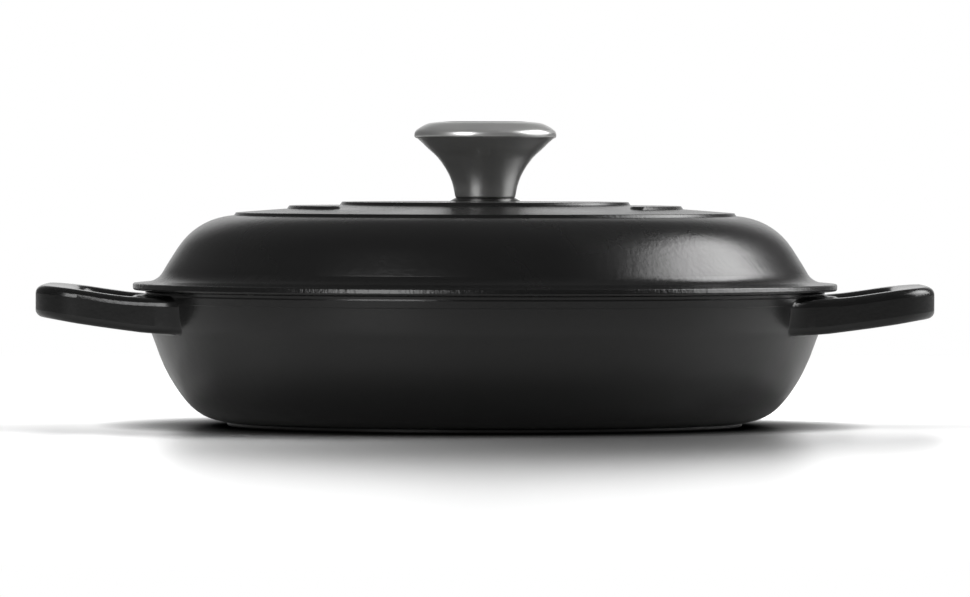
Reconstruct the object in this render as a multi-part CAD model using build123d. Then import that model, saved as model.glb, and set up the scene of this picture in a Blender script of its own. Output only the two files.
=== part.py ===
from build123d import *
import os

# A shallow round casserole, or braiser: a cast pan with two loop handles cast in one with it,
# a domed cast lid, and a hollow steel knob that one screw holds to the lid from below.
# Millimetres. +Z is up, +X runs through the handles, and the origin is the centre of the
# face that stands on the stove. The lid is seated on the rim.

# Driving sizes of the whole
rim_radius = 130.8          # outside of the pan's wall at the rim, under its rim band
pan_height = 51.6           # stove to the top of the rim
flange_overhang = 4.8       # how far the lid's flange stands out past the pan's wall
knob_radius = 27.35         # widest part of the knob

# Pan
wall_run = 31.7             # foot's edge out to the rim
foot_height = 1.25
foot_rounding = 0.4
pan_wall = 3.6
floor_thickness = 4.4
floor_inset_share = 0.2     # of the wall: how far the bowl's flat floor ends inside the foot
band_height = 4.2           # the slightly thicker band round the rim
band_step = 0.12            # how far its top stands out from the wall
band_lean = 0.25            # its lower edge is this much nearer the axis than its top
band_slope = 0.6            # height of the slope under it
rim_outer_rounding = 1.5
rim_inner_rounding = 0.9
# The wall from the foot to the rim, in shares of its run outwards and of its rise
wall_shares = ((0, 0), (0.24, 0.037), (0.451, 0.126), (0.606, 0.247), (0.804, 0.478), (0.912, 0.66), (1, 1))
wall_start_shares = (1, 0.2)
wall_end_shares = (0.07, 1)
floor_start_shares = (1, 0)

# Handles
handle_root_inset = 12.2    # rim in to where the heights of the root are taken, on the wall
handle_root_half_width = 56.4
handle_tip_half_width = 48.1
handle_tip_bow = 1.0
handle_corner_radius = 19.5
handle_root_top = 2.0       # rim down to the top of the handle at its root
handle_root_thickness = 13.6
handle_tip_thickness = 12.0
handle_tip_rise = 4.9       # how much higher the top is at the tip than at the root
handle_edge_rounding = 3.0
handle_wall_rounding = 1.4
handle_spread_inset = 5.5   # rim in to where the handle's sides start to spread to the wall
handle_spread = 9.5         # how much each side spreads
handle_spread_sink = 0.6    # how far inside the wall it ends, level with the wall
handle_bar = 14.9           # width of the bar at the tip
handle_arm = 14.2           # width of each arm
finger_gap_offset = 1.5     # lid's flange to the finger gap
finger_gap_depth = 20.0     # finger gap's inner side to the bar at the tip
finger_outer_corner = 8.0
finger_inner_corner = 6.0
# The handle's top and bottom from root to tip, in shares of the reach and of the rise
handle_top_shares = ((0, 0), (0.2, 0.05), (0.38, 0.19), (0.68, 0.66), (0.87, 0.9), (1, 1))
handle_bottom_shares = ((0, 0), (0.2, 0.08), (0.38, 0.26), (0.68, 0.6), (0.87, 0.86), (1, 1))

# Lid
lid_wall = 3.1
flange_thickness = 3.2      # rim up to the flange's top edge
flange_relief = 0.6         # the flange's edge clears the rim's plane by this
flange_rise = 0.9           # the flange's top rises this much to the dome
flange_top_rounding = 0.6
flange_under_rounding = 1.0
flange_width = 9.7          # flange's edge in to where the dome's wall would meet it
dome_wall_run = 1.9         # the straight foot of the dome's wall, outwards and up
dome_wall_rise = 3.5
dome_foot_rounding = 7.2
shoulder_run = 28.1         # dome's foot in to where its shoulder starts, at the outer step
shoulder_height = 29.2      # above the rim
# The shoulder, from the outer step down to the wall's foot, in shares of its run and its fall
shoulder_shares = ((0, 0), (0.33, 0.105), (0.572, 0.286), (0.742, 0.505), (0.878, 0.756), (1, 1))
shoulder_start_shares = (1, -0.12)

# Steps on the lid's crown, with a plain band between the outer and the inner one
ring_step = 1.2             # height of each step
ring_slope_run = 0.8        # each step slopes outwards by this much
ring_edge_rounding = 0.5
ring_foot_rounding = 0.5
outer_ring_inset = 1.8      # shoulder's start in to the top of the outer step
outer_tread = 20.5          # outer step in to the middle one
middle_tread = 20.3         # middle step in to the inner one
band_rise = 3.0             # from the outer step's edge to the inner step's foot
middle_ring_fall = 0.3      # the middle step's top falls this much from the axis to past its edge
middle_ring_side = 55.6     # axis to the straight end of each half of the middle step
middle_ring_corner = 3.0
plateau_rise = 0.3
boss_height = 1.35
boss_inset = 0.2            # the boss's top is this much smaller than the knob's foot
boss_slope_run = 2.4
screw_pad_margin = 4.5      # flat pad under the crown, past the screw's washer
screw_pad_height = 5.0      # thickness of the lid between that pad and the boss

# Locating lip under the lid, inside the pan's rim
lip_clearance = 0.5
lip_depth = 3.0
lip_thickness = 3.7
lip_rounding = 0.8

# Knob: a hollow flare and a cap, both of pressed steel, and a threaded bush in the neck
knob_foot_radius = 11.5
knob_foot_rounding = 0.7
flare_height = 22.8         # lid's boss up to the crease between flare and cap
crease_inset = 1.1          # widest part of the cap in to the crease
knob_wall = 1.5
cap_edge_height = 1.2       # crease up to the widest part of the cap
cap_edge_rounding = 1.1     # under that part
cap_height = 5.35           # from there to the top
spigot_depth = 1.8          # the cap's rim goes this far into the flare
spigot_inset = 2.6          # and is this much smaller than the flare's mouth
spigot_wall = 1.4
fit_clearance = 0.05
# The flare from its foot to the crease, in shares of its run outwards and of its rise
flare_shares = ((0, 0), (0.06, 0.19), (0.205, 0.43), (0.345, 0.575), (0.515, 0.71), (0.695, 0.815), (1, 1))
flare_start_shares = (0.22, 1)
flare_end_shares = (1.2, 1)
# The cap from its widest part to its centre, in shares of its radius and of its height
cap_shares = ((1, 0), (0.942, 0.48), (0.85, 0.745), (0.715, 0.92), (0.46, 0.985), (0, 1))
cap_start_shares = (0, 1)
cap_end_shares = (-1, 0)

bush_collar_height = 3.0
bush_body_radius = 6.5
bush_height = 14.0
bush_rounding = 0.5

# Screw and washer
screw_radius = 3.0
screw_hole_clearance = 0.6
screw_length_in_bush = 11.0
screw_head_radius = 5.8
screw_head_height = 3.6
screw_head_rounding = 1.6
screw_tip_bevel = 0.6
recess_length = 6.4
recess_width = 1.4
recess_depth = 1.8
washer_radius = 8.5
washer_thickness = 1.2
washer_rounding = 0.3

overrun = 5.0               # how far every cut runs past what it cuts
quarter_turn = 90.0


# Radii that pieces share
foot_radius = rim_radius - wall_run
lid_radius = rim_radius + flange_overhang
handle_root_radius = rim_radius - handle_root_inset
handle_reach = lid_radius + finger_gap_offset + finger_gap_depth + handle_bar
handle_taper = (handle_root_half_width - handle_tip_half_width) / (handle_reach - handle_root_radius)
handle_spread_radius = rim_radius - handle_spread_inset
dome_foot_radius = lid_radius - flange_width
shoulder_radius = dome_foot_radius - shoulder_run
outer_ring_radius = shoulder_radius - outer_ring_inset
middle_ring_radius = outer_ring_radius - outer_tread
inner_ring_radius = middle_ring_radius - middle_tread
boss_radius = knob_foot_radius - boss_inset
boss_foot_radius = boss_radius + boss_slope_run
screw_pad_radius = washer_radius + screw_pad_margin
knob_crease_radius = knob_radius - crease_inset
bowl_rim_radius = rim_radius - pan_wall
rim_edge_radius = rim_radius + band_step
rim_seat_radius = rim_edge_radius - rim_outer_rounding
lip_radius = bowl_rim_radius - lip_clearance
screw_hole_radius = screw_radius + screw_hole_clearance

# Heights that pieces share
seat_height = pan_height
outer_ring_top = seat_height + shoulder_height + ring_step
inner_ring_foot = outer_ring_top + band_rise
inner_ring_top = inner_ring_foot + ring_step
boss_top = inner_ring_top + plateau_rise + boss_height
screw_pad = boss_top - screw_pad_height
crease = boss_top + flare_height
knob_top = crease + cap_edge_height + cap_height


def between(start, end, shares):
    """Points from one corner of an outline to another, by shares of the width and the height."""
    width = end[0] - start[0]
    height = end[1] - start[1]
    return [(start[0] + width * across, start[1] + height * up) for across, up in shares]


def rounded(face, corner, radius):
    """The face with its corner nearest to a point rounded."""
    nearest = face.vertices().sort_by_distance((corner[0], corner[1], 0))[0]
    return face.fillet_2d(radius, [nearest])


def turned(face, angle=360):
    """A round solid from an outline of radii and heights, turned from the +Y side."""
    return revolve(Plane.YZ * face, Axis.Z, angle)


def pan_shell():
    """The outside of the pan, filled in, without its rim band and handles."""
    foot = (foot_radius, foot_height)
    rim = (rim_radius, pan_height)
    wall = Spline(*wall_corners(), tangents=(wall_start_shares, wall_end_shares))
    rest = Polyline(rim, (0, pan_height), (0, 0), (foot_radius, 0), foot)
    face = rounded(make_face(wall + rest).face(), (foot_radius, 0), foot_rounding)
    return turned(face)


def rim_band():
    """The thicker band round the rim, as a ring that reaches into the wall."""
    bottom = pan_height - band_height
    bottom_radius = rim_edge_radius - band_lean
    face = make_face(
        Polyline(
            (bowl_rim_radius, bottom - band_slope),
            (bottom_radius - band_slope, bottom - band_slope),
            (bottom_radius, bottom),
            (rim_edge_radius, pan_height),
            (bowl_rim_radius, pan_height),
            close=True,
        )
    )
    return turned(rounded(face.face(), (rim_edge_radius, pan_height), rim_outer_rounding))


def pan_bowl():
    """The hollow of the pan, open past the rim."""
    floor = (foot_radius - pan_wall * floor_inset_share, floor_thickness)
    mouth_radius = bowl_rim_radius + rim_inner_rounding
    lip_foot = (bowl_rim_radius, pan_height - rim_inner_rounding)
    wall = Spline(*between(floor, lip_foot, wall_shares), tangents=(floor_start_shares, wall_end_shares))
    lip = RadiusArc(lip_foot, (mouth_radius, pan_height), rim_inner_rounding)
    rest = Polyline(
        (mouth_radius, pan_height),
        (mouth_radius, pan_height + overrun),
        (0, pan_height + overrun),
        (0, floor_thickness),
        floor,
    )
    return turned(make_face(wall + lip + rest))


def handle_half_width(reach):
    """Half of the handle's width at a distance from the pan's axis: its sides draw in outwards."""
    return handle_root_half_width - handle_taper * (reach - handle_root_radius)


def wall_corners():
    """The points that the outside of the pan's wall runs through, from the foot to the rim."""
    return between((foot_radius, foot_height), (rim_radius, pan_height), wall_shares)


def handle_root_section(wall_radius, height):
    """A level section of the handle's root, whose sides spread to run along the round wall."""
    half = handle_half_width(handle_spread_radius)
    wide = half + handle_spread
    reach = ((wall_radius - handle_spread_sink) ** 2 - wide ** 2) ** 0.5
    directions = ((-1, handle_taper), (-wide, reach))
    side = Spline((handle_spread_radius, half), (reach, wide), tangents=directions)
    inner = Polyline((reach, wide), (foot_radius, wide), (foot_radius, -wide), (reach, -wide))
    outer = Line((handle_spread_radius, -half), (handle_spread_radius, half))
    return Pos(0, 0, height) * make_face(side + inner + mirror(side, Plane.XZ) + outer)


def handle_root():
    """The part of the handle that spreads into the wall, which leans outwards to the rim."""
    sections = [handle_root_section(radius, height) for radius, height in wall_corners()[-2:]]
    return loft(sections, ruled=True)


def handle_plan():
    """The outline of one loop handle seen from above, from its root out, with its finger gap."""
    inside = handle_spread_radius
    tip = handle_reach - handle_tip_bow
    root_half = handle_half_width(inside)
    tip_half = handle_half_width(tip)
    sides = Polyline((tip, -tip_half), (inside, -root_half), (inside, root_half), (tip, tip_half))
    bow = ThreePointArc((tip, tip_half), (handle_reach, 0), (tip, -tip_half))
    plan = make_face(sides + bow).face()
    plan = rounded(plan, (tip, tip_half), handle_corner_radius)
    plan = rounded(plan, (tip, -tip_half), handle_corner_radius)

    gap_tip = handle_reach - handle_bar
    gap_root_half = root_half - handle_arm
    gap_tip_half = handle_half_width(gap_tip) - handle_arm
    between_arms = make_face(
        Polyline(
            (inside, -gap_root_half),
            (gap_tip, -gap_tip_half),
            (gap_tip, gap_tip_half),
            (inside, gap_root_half),
            close=True,
        )
    )
    gap = (between_arms - Circle(lid_radius + finger_gap_offset)).face()
    gap = gap.fillet_2d(finger_inner_corner, gap.vertices().sort_by(Axis.X)[:2])
    gap = rounded(gap, (gap_tip, gap_tip_half), finger_outer_corner)
    gap = rounded(gap, (gap_tip, -gap_tip_half), finger_outer_corner)
    return plan - gap


def handle():
    """One loop handle, on the +X side: upright walls between a top and a bottom that rise outwards."""
    inside = foot_radius
    top_root = pan_height - handle_root_top
    bottom_root = top_root - handle_root_thickness
    top_tip = top_root + handle_tip_rise
    bottom_tip = top_tip - handle_tip_thickness
    top = Spline(
        (inside, top_root),
        *between((handle_root_radius, top_root), (handle_reach, top_tip), handle_top_shares),
    )
    bottom = Spline(
        (inside, bottom_root),
        *between((handle_root_radius, bottom_root), (handle_reach, bottom_tip), handle_bottom_shares),
    )
    past = handle_reach + overrun
    beside = handle_root_half_width + handle_spread + overrun
    outline = (
        top
        + Polyline(
            (handle_reach, top_tip), (past, top_tip), (past, bottom_tip), (handle_reach, bottom_tip)
        )
        + bottom
        + Line((inside, bottom_root), (inside, top_root))
    )
    side_view = extrude(Plane.XZ * make_face(outline), beside, both=True)
    upright = extrude(handle_plan(), pan_height + overrun) + handle_root()
    loop = upright & side_view
    faces = loop.faces().sort_by(Axis.Z)
    rails = [
        edge
        for face in (faces[0], faces[-1])
        for edge in face.edges()
        if edge.bounding_box().min.X > inside + overrun
    ]
    return fillet(rails, handle_edge_rounding)


def pan():
    """The cast pan with both handles, each run into the wall with a small fillet."""
    shell = pan_shell()
    right = handle()
    left = mirror(right, Plane.YZ)
    joined = shell + right + left
    seams = new_edges(shell, right, left, combined=joined)
    return fillet(seams, handle_wall_rounding) + rim_band() - pan_bowl()


def lid_crown_outline():
    """The top of the lid from the screw hole out to the shoulder, with its steps."""
    return Polyline(
        (screw_hole_radius, boss_top),
        (boss_radius, boss_top),
        (boss_foot_radius, inner_ring_top + plateau_rise),
        (inner_ring_radius, inner_ring_top),
        (inner_ring_radius + ring_slope_run, inner_ring_foot),
        (outer_ring_radius, outer_ring_top),
        (outer_ring_radius + ring_slope_run, outer_ring_top - ring_step),
        (shoulder_radius, outer_ring_top - ring_step),
    )


def lid_shell():
    """The lid without the middle step: crown, dome, flange and locating lip."""
    shoulder = (shoulder_radius, outer_ring_top - ring_step)
    flange_root = (dome_foot_radius, seat_height + flange_thickness + flange_rise)
    wall_foot = (flange_root[0] - dome_wall_run, flange_root[1] + dome_wall_rise)
    flange_edge = (lid_radius, seat_height + flange_thickness)
    flange_under = (lid_radius, seat_height + flange_relief)
    lip_inner = lip_radius - lip_thickness
    wall_direction = (dome_wall_run, -dome_wall_rise)
    outer = Spline(
        *between(shoulder, wall_foot, shoulder_shares),
        tangents=(shoulder_start_shares, wall_direction),
    )

    inner_shoulder = (shoulder_radius, shoulder[1] - lid_wall)
    inner_foot = (lip_inner - dome_wall_run, wall_foot[1] - dome_wall_rise / 2)
    inner = Spline(
        *between(inner_shoulder, inner_foot, shoulder_shares),
        tangents=(shoulder_start_shares, wall_direction),
    )
    crown = lid_crown_outline()
    foot = Polyline(
        wall_foot,
        flange_root,
        flange_edge,
        flange_under,
        (rim_seat_radius, seat_height),
        (lip_radius, seat_height),
        (lip_radius, seat_height - lip_depth),
        (lip_inner, seat_height - lip_depth),
        (lip_inner, seat_height + flange_thickness),
        inner_foot,
    )
    under = Polyline(
        inner_shoulder,
        (middle_ring_radius, inner_ring_foot - band_rise / 2 - lid_wall),
        (inner_ring_radius, inner_ring_foot - lid_wall),
        (screw_pad_radius, screw_pad),
        (screw_hole_radius, screw_pad),
        (screw_hole_radius, boss_top),
    )
    face = make_face(crown + outer + foot + inner + under).face()
    face = rounded(face, flange_root, dome_foot_rounding)
    face = rounded(face, flange_edge, flange_top_rounding)
    face = rounded(face, flange_under, flange_under_rounding)
    face = rounded(face, (inner_ring_radius, inner_ring_top), ring_edge_rounding)
    face = rounded(face, (inner_ring_radius + ring_slope_run, inner_ring_foot), ring_foot_rounding)
    face = rounded(face, (outer_ring_radius, outer_ring_top), ring_edge_rounding)
    face = rounded(face, (lip_radius, seat_height - lip_depth), lip_rounding)
    face = rounded(face, (lip_inner, seat_height - lip_depth), lip_rounding)
    return turned(face)


def middle_step_outline(growth, height):
    """A level outline of the middle step's +X half: part of a disc with a straight end."""
    width = middle_ring_radius + overrun
    beside = Rectangle(width, width * 2, align=(Align.MIN, Align.CENTER))
    outline = Circle(middle_ring_radius + growth) & Pos(middle_ring_side - growth, 0) * beside
    return Pos(0, 0, height) * fillet(outline.vertices(), middle_ring_corner)


def middle_step():
    """The +X half of the middle step, which lies on the crown. Its sides slope outwards."""
    top = inner_ring_foot - middle_ring_fall
    depth = lid_wall / 2
    slope_run = ring_slope_run * depth / ring_step
    outlines = [
        middle_step_outline(slope_run, top - depth),
        middle_step_outline(-slope_run, top + depth),
    ]
    past = middle_ring_radius + overrun
    face = make_face(
        Polyline((0, top - depth), (past, top - depth), (past, top), (0, inner_ring_foot), close=True)
    )
    half = loft(outlines, ruled=True) & turned(face)
    crest = half.faces().sort_by(Axis.Z)[-1].edges()
    return fillet(crest, ring_edge_rounding)


def lid():
    """The cast lid, with a step on each side between its two full ones."""
    step = middle_step()
    return lid_shell() + step + mirror(step, Plane.YZ)


def knob_flare():
    """The hollow flare of the knob, from its foot on the lid to the crease under the cap."""
    foot = (knob_foot_radius, boss_top)
    crease_edge = (knob_crease_radius, crease)
    inner_foot = (knob_foot_radius - knob_wall, boss_top)
    inner_edge = (knob_crease_radius - knob_wall, crease)
    inner_start = (inner_foot[0], boss_top + bush_collar_height)
    slopes = (flare_start_shares, flare_end_shares)
    outer = Spline(*between(foot, crease_edge, flare_shares), tangents=slopes)
    inner = Spline(*between(inner_start, inner_edge, flare_shares), tangents=slopes)
    mouth = Line(crease_edge, inner_edge)
    neck = Polyline(inner_start, inner_foot, foot)
    face = make_face(outer + mouth + inner + neck)
    face = rounded(face.face(), foot, knob_foot_rounding)
    return turned(face)


def knob_cap():
    """The domed cap of the knob, whose rim goes into the flare."""
    edge = (knob_radius, crease + cap_edge_height)
    top = Spline(
        *between((0, edge[1]), (knob_radius, knob_top), cap_shares),
        tangents=(cap_start_shares, cap_end_shares),
    )
    spigot = knob_crease_radius - knob_wall - spigot_inset
    spigot_inner = spigot - spigot_wall
    rest = Polyline(
        (0, knob_top),
        (0, knob_top - knob_wall),
        (spigot_inner, knob_top - knob_wall),
        (spigot_inner, crease - spigot_depth),
        (spigot, crease - spigot_depth),
        (spigot, crease),
        (knob_radius, crease),
        edge,
    )
    face = rounded(make_face(top + rest).face(), (knob_radius, crease), cap_edge_rounding)
    return turned(face)


def knob_bush():
    """The threaded bush in the knob's neck. Its thread is a plain bore."""
    collar = knob_foot_radius - knob_wall - fit_clearance
    top = boss_top + bush_height
    bore = screw_radius + fit_clearance
    face = make_face(
        Polyline(
            (bore, boss_top),
            (collar, boss_top),
            (collar, boss_top + bush_collar_height),
            (bush_body_radius, boss_top + bush_collar_height),
            (bush_body_radius, top),
            (bore, top),
            close=True,
        )
    )
    face = rounded(face.face(), (bush_body_radius, top), bush_rounding)
    return turned(face)


def knob_screw():
    """The screw that comes up through the lid into the bush, with a cross recess in its head."""
    seat = screw_pad - washer_thickness
    tip = boss_top + screw_length_in_bush
    face = make_face(
        Polyline(
            (0, seat - screw_head_height),
            (screw_head_radius, seat - screw_head_height),
            (screw_head_radius, seat),
            (screw_radius, seat),
            (screw_radius, tip - screw_tip_bevel),
            (screw_radius - screw_tip_bevel, tip),
            (0, tip),
            close=True,
        )
    )
    face = rounded(face.face(), (screw_head_radius, seat - screw_head_height), screw_head_rounding)
    screw = turned(face)
    slot = Box(recess_length, recess_width, recess_depth)
    cross = slot + slot.rotate(Axis.Z, quarter_turn)
    return screw - Pos(0, 0, seat - screw_head_height + recess_depth / 2) * cross


def screw_washer():
    """The plain washer between the screw's head and the lid."""
    face = make_face(
        Polyline(
            (screw_hole_radius, screw_pad - washer_thickness),
            (washer_radius, screw_pad - washer_thickness),
            (washer_radius, screw_pad),
            (screw_hole_radius, screw_pad),
            close=True,
        )
    )
    face = rounded(face.face(), (washer_radius, screw_pad - washer_thickness), washer_rounding)
    return turned(face)


part_makers = {
    "pan": pan,
    "lid": lid,
    "knob_flare": knob_flare,
    "knob_cap": knob_cap,
    "knob_bush": knob_bush,
    "knob_screw": knob_screw,
    "screw_washer": screw_washer,
}

os.makedirs("parts", exist_ok=True)
for node, make in part_makers.items():
    export_step(make(), "parts/" + node + ".step")
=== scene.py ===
import math

import bmesh
import bpy
from mathutils import Matrix, Vector

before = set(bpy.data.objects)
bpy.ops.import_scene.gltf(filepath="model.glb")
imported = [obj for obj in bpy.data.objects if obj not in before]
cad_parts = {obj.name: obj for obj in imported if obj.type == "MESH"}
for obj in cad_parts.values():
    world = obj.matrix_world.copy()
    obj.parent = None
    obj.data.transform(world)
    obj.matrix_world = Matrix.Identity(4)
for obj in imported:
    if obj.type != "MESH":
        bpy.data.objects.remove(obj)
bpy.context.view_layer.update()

# The looks of a cast braiser: satin black enamel on the pan and the lid, a satin steel knob,
# and the pale studio that it stands in. Metres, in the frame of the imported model.

millimetre = 0.001
white = (1.0, 1.0, 1.0, 1.0)

# Camera
camera_distance = 3.5       # in front of the knob's axis
camera_height = 0.108
aim_height = 0.04896        # the height on the axis that the picture is centred on
camera_lens = 337.2
camera_sensor = 36.0
camera_roll = math.radians(0.12)

# World: a pale wall behind the braiser, a dim room all round. The limits are parts of a unit
# direction: how far back, how far to a side and how high the wall begins and ends.
room_brightness = 0.13
wall_brightness = 0.95
wall_start_back = 0.0
wall_full_back = 0.3
wall_full_side = 0.12
wall_end_side = 0.42
wall_full_height = 0.08
wall_end_height = 0.55

# Lamps: azimuth from the front to the right and elevation, both in degrees, then distance,
# width, height, brightness, and whether shiny surfaces show the lamp or matt ones are lit by it
lamps = {
    "right softbox": (101, 33, 1.4, 1.25, 0.95, 4.2, "shown"),
    "right softbox core": (103, 36, 1.2, 0.62, 0.42, 3.4, "shown"),
    "left softbox": (-36, 27, 1.5, 0.72, 0.86, 5.6, "shown"),
    "top softbox": (-165, 75, 1.5, 1.4, 1.4, 2.0, "lighting"),
}

# Table top
floor_half_size = 30.0
floor_dark = (0.80, 0.80, 0.79)
floor_pale = (0.83, 0.83, 0.82)
floor_grain = 8.0
floor_roughness = 0.6
floor_gloss = 2.0           # how much of the wall it shows at a low angle
gloss_roughness = 0.33
gloss_stretch = -0.4        # the blur of what it shows is wider sideways
gloss_start = 0.88          # Facing where the gloss begins and where it is all that shows
gloss_full = 0.95
floor_paleness = 0.38       # how much brighter it is for the camera, seen from above
floor_mirrored = 0.12       # how much brighter it is where enamel and steel show it
fade_start = 0.3            # from here outwards it fades to the white backdrop
fade_end = 1.2
# The painted contact shadow on the table: how far from the braiser it reaches and how steeply it
# darkens the table's gloss.
contact_reach = 0.035       # how far from the braiser it darkens
contact_power = 2.0

# Enamel
skin_unit = 0.1 * millimetre    # what the enamel's depths are counted in
enamel_black = (0.011, 0.011, 0.011)
enamel_soft_black = (0.015, 0.015, 0.015)
skin_layers = (             # each with its fineness and detail
    ("Wave depth", 70.0, 1.0),
    ("Peel depth", 520.0, 2.0),
    ("Pit depth", 1900.0, 1.0),
)
mottle_scale = 24.0
mottle_detail = 4.0

# The lid's outer edge
ripple_start = 0.1332       # radius where the ripples begin, and where they are full
ripple_full = 0.1352
ripple_depth = 2.0
ripple_scale = 700.0
ripple_detail = 2.0
ripple_stretch = (1.0, 1.0, 0.6)
edge_bottom = 0.0522        # heights that the edge runs between
edge_top = 0.0548
edge_lean = 9.0

# Steel
steel_metal = 0.65          # the rest is the dull haze of a satin finish
line_detail = 2.0
haze_scale = 90.0
haze_detail = 3.0

# Noise lies mostly between these
noise_low = 0.3
noise_high = 0.7


class Nodes:
    """Short calls that fill a node tree, which is emptied first."""

    def __init__(self, tree):
        self.tree = tree
        tree.nodes.clear()

    def add(self, kind, values=None, **settings):
        """A new node, with values for its inputs by label or number."""
        node = self.tree.nodes.new(kind)
        for key, value in settings.items():
            setattr(node, key, value)
        for label, value in (values or {}).items():
            node.inputs[label].default_value = value
        return node

    def join(self, source, target):
        """Links an output to an input."""
        self.tree.links.new(source, target)

    def work(self, operation, *terms):
        """The result of a sum or product of outputs and plain numbers."""
        node = self.add("ShaderNodeMath", operation=operation)
        for slot, term in zip(node.inputs, terms):
            if isinstance(term, float):
                slot.default_value = term
            else:
                self.join(term, slot)
        return node.outputs["Value"]

    def spread(self, source, lowest, highest, first=0.0, last=1.0, easing="LINEAR"):
        """A value from lowest to highest, spread from first to last."""
        limits = {"From Min": lowest, "From Max": highest, "To Min": first, "To Max": last}
        node = self.add("ShaderNodeMapRange", limits, interpolation_type=easing)
        self.join(source, node.inputs["Value"])
        return node.outputs["Result"]

    def blend(self, factor, first, second):
        """A colour between two, by a factor that changes over the surface."""
        node = self.add("ShaderNodeMix", {6: (*first, 1.0), 7: (*second, 1.0)}, data_type="RGBA")
        self.join(factor, node.inputs["Factor"])
        return node.outputs[2]

    def noise(self, place, scale, detail):
        """Noise of a fineness and detail, at a place."""
        node = self.add("ShaderNodeTexNoise", {"Scale": scale, "Detail": detail})
        self.join(place, node.inputs["Vector"])
        return node.outputs["Fac"]

    def place(self):
        """The place on the piece."""
        return self.add("ShaderNodeTexCoord").outputs["Object"]

    def split(self, place):
        """The X, Y and Z of a place."""
        node = self.add("ShaderNodeSeparateXYZ")
        self.join(place, node.inputs["Vector"])
        return node.outputs["X"], node.outputs["Y"], node.outputs["Z"]

    def combine(self, **terms):
        """A place made of X, Y and Z."""
        node = self.add("ShaderNodeCombineXYZ")
        for axis, term in terms.items():
            self.join(term, node.inputs[axis])
        return node.outputs["Vector"]

    def length(self, place):
        """How far a place is from the origin."""
        node = self.add("ShaderNodeVectorMath", operation="LENGTH")
        self.join(place, node.inputs[0])
        return node.outputs["Value"]

    def bump(self, height, depth, shader):
        """Bump of a depth in metres into the shader's normal."""
        node = self.add("ShaderNodeBump", {"Distance": depth})
        self.join(height, node.inputs["Height"])
        self.join(node.outputs["Normal"], shader.inputs["Normal"])

    def mix_shaders(self, factor, first, second):
        """One shader fading into another."""
        node = self.add("ShaderNodeMixShader")
        self.join(factor, node.inputs["Fac"])
        self.join(first, node.inputs[1])
        self.join(second, node.inputs[2])
        return node.outputs["Shader"]


def link(thing):
    """Puts a new object into the scene."""
    bpy.context.scene.collection.objects.link(thing)
    return thing


def place_camera():
    """A long lens, a little above the rim, looking at the front."""
    lens = bpy.data.cameras.new("camera")
    lens.lens = camera_lens
    lens.sensor_width = camera_sensor
    lens.clip_end = 2 * floor_half_size
    camera = link(bpy.data.objects.new("camera", lens))
    camera.location = (0, -camera_distance, camera_height)
    view = Vector((0, 0, aim_height)) - camera.location
    turn = view.to_track_quat("-Z", "Y").to_matrix() @ Matrix.Rotation(camera_roll, 3, "Z")
    camera.rotation_euler = turn.to_euler()
    bpy.context.scene.camera = camera


def hang_lamp(name, azimuth, elevation, distance, width, height, brightness, use):
    """A rectangular lamp that faces the braiser."""
    lamp = bpy.data.lights.new(name, "AREA")
    lamp.shape = "RECTANGLE"
    lamp.size = width
    lamp.size_y = height
    lamp.energy = brightness * math.pi * width * height
    box = link(bpy.data.objects.new(name, lamp))
    level = distance * math.cos(math.radians(elevation))
    turn = math.radians(azimuth)
    rise = distance * math.sin(math.radians(elevation))
    box.location = (level * math.sin(turn), -level * math.cos(turn), aim_height + rise)
    facing = Vector((0, 0, aim_height)) - box.location
    box.rotation_euler = facing.to_track_quat("-Z", "Y").to_euler()
    box.visible_camera = False
    box.visible_diffuse = use == "lighting"
    box.visible_glossy = use == "shown"


def light_world():
    """A pale wall behind the braiser, a dim room all round, and white for the camera."""
    world = bpy.data.worlds.new("studio")
    bpy.context.scene.world = world
    world.use_nodes = True
    nodes = Nodes(world.node_tree)
    across, back, up = nodes.split(nodes.add("ShaderNodeTexCoord").outputs["Generated"])
    ease = "SMOOTHSTEP"
    behind = nodes.spread(back, wall_start_back, wall_full_back, 0.0, wall_brightness, ease)
    sideways = nodes.work("ABSOLUTE", across)
    central = nodes.spread(sideways, wall_full_side, wall_end_side, 1.0, 0.0, ease)
    low = nodes.spread(up, wall_full_height, wall_end_height, 1.0, 0.0, ease)
    wall = nodes.work("MULTIPLY", nodes.work("MULTIPLY", behind, central), low)
    total = nodes.work("ADD", wall, room_brightness)
    path = nodes.add("ShaderNodeLightPath")
    seen = nodes.add("ShaderNodeMix", {"B": 1.0}, data_type="FLOAT")
    nodes.join(path.outputs["Is Camera Ray"], seen.inputs["Factor"])
    nodes.join(total, seen.inputs["A"])
    glow = nodes.add("ShaderNodeBackground", {"Color": white})
    nodes.join(seen.outputs["Result"], glow.inputs["Strength"])
    result = nodes.add("ShaderNodeOutputWorld")
    nodes.join(glow.outputs["Background"], result.inputs["Surface"])


def new_group(name, inputs, outputs):
    """A shader node group with named number inputs and outputs, ready to be filled."""
    group = bpy.data.node_groups.new(name, "ShaderNodeTree")
    for side, labels in (("INPUT", inputs), ("OUTPUT", outputs)):
        for label in labels:
            group.interface.new_socket(label, in_out=side, socket_type="NodeSocketFloat")
    nodes = Nodes(group)
    return group, nodes.add("NodeGroupInput"), nodes.add("NodeGroupOutput"), nodes


def enamel_skin_group():
    """Fired enamel: long soft waves, an orange peel on them, and fine pits."""
    depths = [label for label, scale, detail in skin_layers]
    group, given, result, nodes = new_group("enamel skin", depths, ("Height", "Mottle"))
    place = nodes.place()
    total = 0.0
    for label, scale, detail in skin_layers:
        layer = nodes.work("MULTIPLY", nodes.noise(place, scale, detail), given.outputs[label])
        total = nodes.work("ADD", total, layer)
    nodes.join(total, result.inputs["Height"])
    nodes.join(nodes.noise(place, mottle_scale, mottle_detail), result.inputs["Mottle"])
    return group


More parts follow.
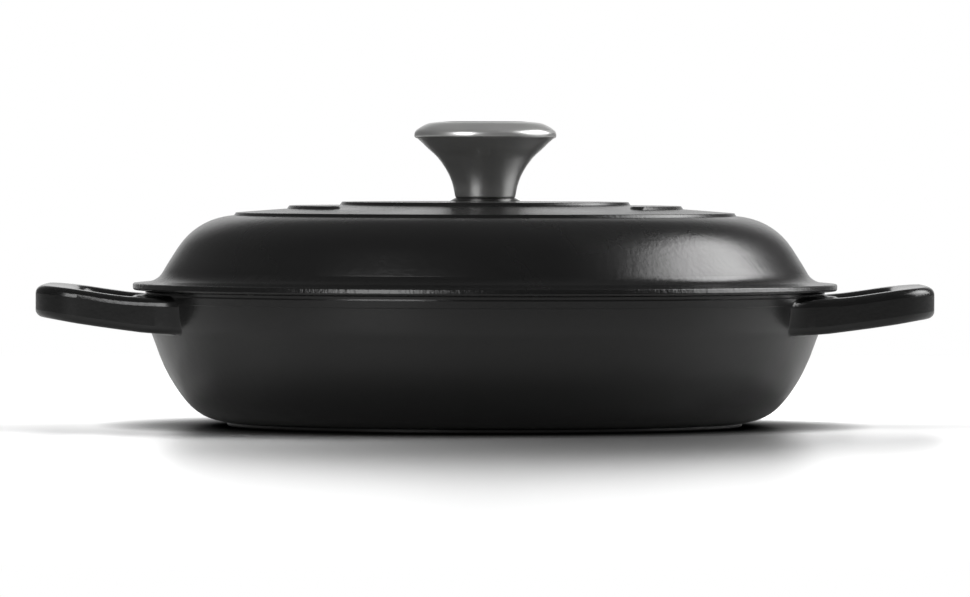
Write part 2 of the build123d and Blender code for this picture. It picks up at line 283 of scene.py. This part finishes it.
def turned_grain_group():
    """Fine lines that run round the knob's axis, as polishing on a lathe leaves them."""
    labels = ("Line size", "Streak length")
    group, given, result, nodes = new_group("turned grain", labels, ("Lines", "Haze"))
    place = nodes.place()
    across, back, up = nodes.split(place)
    around = nodes.work("ARCTAN2", back, across)
    radius = nodes.length(nodes.combine(X=across, Y=back))
    fineness = nodes.work("DIVIDE", 1.0 / millimetre, given.outputs["Line size"])
    stretched = nodes.combine(
        X=nodes.work("MULTIPLY", radius, fineness),
        Y=nodes.work("MULTIPLY", around, given.outputs["Streak length"]),
        Z=nodes.work("MULTIPLY", up, fineness),
    )
    nodes.join(nodes.noise(stretched, 1.0, line_detail), result.inputs["Lines"])
    nodes.join(nodes.noise(place, haze_scale, haze_detail), result.inputs["Haze"])
    return group


def new_material(name):
    """A material with its Principled shader wired up, and its nodes."""
    material = bpy.data.materials.new(name)
    material.use_nodes = True
    nodes = Nodes(material.node_tree)
    shader = nodes.add("ShaderNodeBsdfPrincipled")
    result = nodes.add("ShaderNodeOutputMaterial")
    nodes.join(shader.outputs["BSDF"], result.inputs["Surface"])
    return material, shader, nodes


def edge_ripple(nodes):
    """Upright ripples where enamel has run on the lid's outer edge."""
    place = nodes.place()
    across, back, _ = nodes.split(place)
    radius = nodes.length(nodes.combine(X=across, Y=back))
    mask = nodes.spread(radius, ripple_start, ripple_full, 0.0, ripple_depth)
    stretched = nodes.add("ShaderNodeMapping", {"Scale": ripple_stretch})
    nodes.join(place, stretched.inputs["Vector"])
    noise = nodes.noise(stretched.outputs["Vector"], ripple_scale, ripple_detail)
    return nodes.work("MULTIPLY", noise, mask)


def edge_draft(nodes):
    """A bump height that makes the lid's outer edge seem to lean inwards from its bottom to its
    top, as a cast edge does.
    """
    up = nodes.split(nodes.place())[2]
    return nodes.spread(up, edge_bottom, edge_top, edge_lean, 0.0)


def enamel(name, skin, wave, peel, pits, smooth, rough, edges=()):
    """Satin black enamel with its own depths of skin, range of roughness and edges."""
    material, shader, nodes = new_material(name)
    depths = {"Wave depth": wave, "Peel depth": peel, "Pit depth": pits}
    surface = nodes.add("ShaderNodeGroup", node_tree=skin)
    for label, depth in depths.items():
        surface.inputs[label].default_value = depth
    mottle = surface.outputs["Mottle"]
    roughness = nodes.spread(mottle, noise_low, noise_high, smooth, rough)
    nodes.join(roughness, shader.inputs["Roughness"])
    nodes.join(nodes.blend(mottle, enamel_black, enamel_soft_black), shader.inputs["Base Color"])
    height = surface.outputs["Height"]
    for edge in edges:
        height = nodes.work("ADD", height, edge(nodes))
    nodes.bump(height, skin_unit, shader)
    return material


def steel(name, grain, line_size, streaks, dark, pale, smooth, rough, depth):
    """Stainless steel with a grain that runs round the axis."""
    material, shader, nodes = new_material(name)
    shader.inputs["Metallic"].default_value = steel_metal
    surface = nodes.add("ShaderNodeGroup", node_tree=grain)
    surface.inputs["Line size"].default_value = line_size
    surface.inputs["Streak length"].default_value = streaks
    roughness = nodes.spread(surface.outputs["Haze"], noise_low, noise_high, smooth, rough)
    lines = surface.outputs["Lines"]
    nodes.join(roughness, shader.inputs["Roughness"])
    nodes.join(nodes.blend(lines, dark, pale), shader.inputs["Base Color"])
    nodes.bump(lines, depth * millimetre, shader)
    return material


def table_top():
    """Pale and matt from above, glossy at a low angle, white far from the braiser, with a
    painted contact shadow around the braiser.
    """
    material, shader, nodes = new_material("pale table top")
    place = nodes.place()
    path = nodes.add("ShaderNodeLightPath")
    camera_ray = path.outputs["Is Camera Ray"]
    # Occlusion near the braiser darkens the table's glow and gloss: a painted contact shadow.
    contact = nodes.add("ShaderNodeAmbientOcclusion", {"Distance": contact_reach})
    painted_contact_shade = contact.outputs["AO"]

    grain = nodes.add("ShaderNodeTexNoise", {"Scale": floor_grain})
    nodes.join(place, grain.inputs["Vector"])
    colour = nodes.blend(grain.outputs["Fac"], floor_dark, floor_pale)
    nodes.join(colour, shader.inputs["Base Color"])
    shader.inputs["Roughness"].default_value = floor_roughness
    shown = nodes.work("MULTIPLY", camera_ray, floor_paleness)
    mirror = path.outputs["Is Glossy Ray"]
    mirrored = nodes.work("MULTIPLY_ADD", mirror, floor_mirrored, shown)
    # The glow is darkened where the braiser is close: painted shadow.
    nodes.join(nodes.work("MULTIPLY", mirrored, painted_contact_shade), shader.inputs["Emission Color"])
    shader.inputs["Emission Strength"].default_value = 1.0

    settings = {"Roughness": gloss_roughness, "Anisotropy": gloss_stretch}
    gloss = nodes.add("ShaderNodeBsdfAnisotropic", settings)
    # The same painted contact shadow darkens the table's gloss, more steeply.
    painted_shade_on_gloss = nodes.work("POWER", painted_contact_shade, contact_power)
    nodes.join(nodes.work("MULTIPLY", painted_shade_on_gloss, floor_gloss), gloss.inputs["Color"])
    facing = nodes.add("ShaderNodeLayerWeight").outputs["Facing"]
    low_angle = nodes.work("MULTIPLY", nodes.spread(facing, gloss_start, gloss_full), camera_ray)
    near = nodes.mix_shaders(low_angle, shader.outputs["BSDF"], gloss.outputs["BSDF"])

    far = nodes.spread(nodes.length(place), fade_start, fade_end, easing="SMOOTHSTEP")
    backdrop = nodes.add("ShaderNodeEmission", {"Color": white})
    faded = nodes.work("MULTIPLY", far, camera_ray)
    whole = nodes.mix_shaders(faded, near, backdrop.outputs["Emission"])
    nodes.join(whole, material.node_tree.get_output_node("ALL").inputs["Surface"])
    return material


def lay_floor():
    """The table top, which runs out of sight."""
    shape = bmesh.new()
    bmesh.ops.create_grid(shape, x_segments=1, y_segments=1, size=floor_half_size)
    mesh = bpy.data.meshes.new("floor")
    shape.to_mesh(mesh)
    shape.free()
    mesh.materials.append(table_top())
    link(bpy.data.objects.new("floor", mesh))


def finish(material, *names):
    """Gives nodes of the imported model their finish."""
    for name in names:
        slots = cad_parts[name].data.materials
        slots.clear()
        slots.append(material)


bpy.context.scene.view_settings.view_transform = "Standard"
place_camera()
light_world()
for name, settings in lamps.items():
    hang_lamp(name, *settings)
lay_floor()

enamel_skin = enamel_skin_group()
turned_grain = turned_grain_group()
pan_enamel = enamel(
    "pan enamel", enamel_skin, wave=0.5, peel=0.35, pits=0.06, smooth=0.20, rough=0.26
)
lid_enamel = enamel(
    "lid enamel", enamel_skin, wave=0.5, peel=0.7, pits=0.06, smooth=0.23, rough=0.29,
    edges=(edge_ripple, edge_draft),
)
knob_steel = steel(
    "knob steel", turned_grain, line_size=0.12, streaks=6.0,
    dark=(0.70, 0.70, 0.69), pale=(0.80, 0.80, 0.79), smooth=0.28, rough=0.36, depth=0.012,
)
screw_steel = steel(
    "screw steel", turned_grain, line_size=0.16, streaks=3.0,
    dark=(0.45, 0.45, 0.44), pale=(0.58, 0.58, 0.57), smooth=0.30, rough=0.40, depth=0.008,
)
finish(pan_enamel, "pan")
finish(lid_enamel, "lid")
finish(knob_steel, "knob_flare", "knob_cap")
finish(screw_steel, "knob_bush", "knob_screw", "screw_washer")
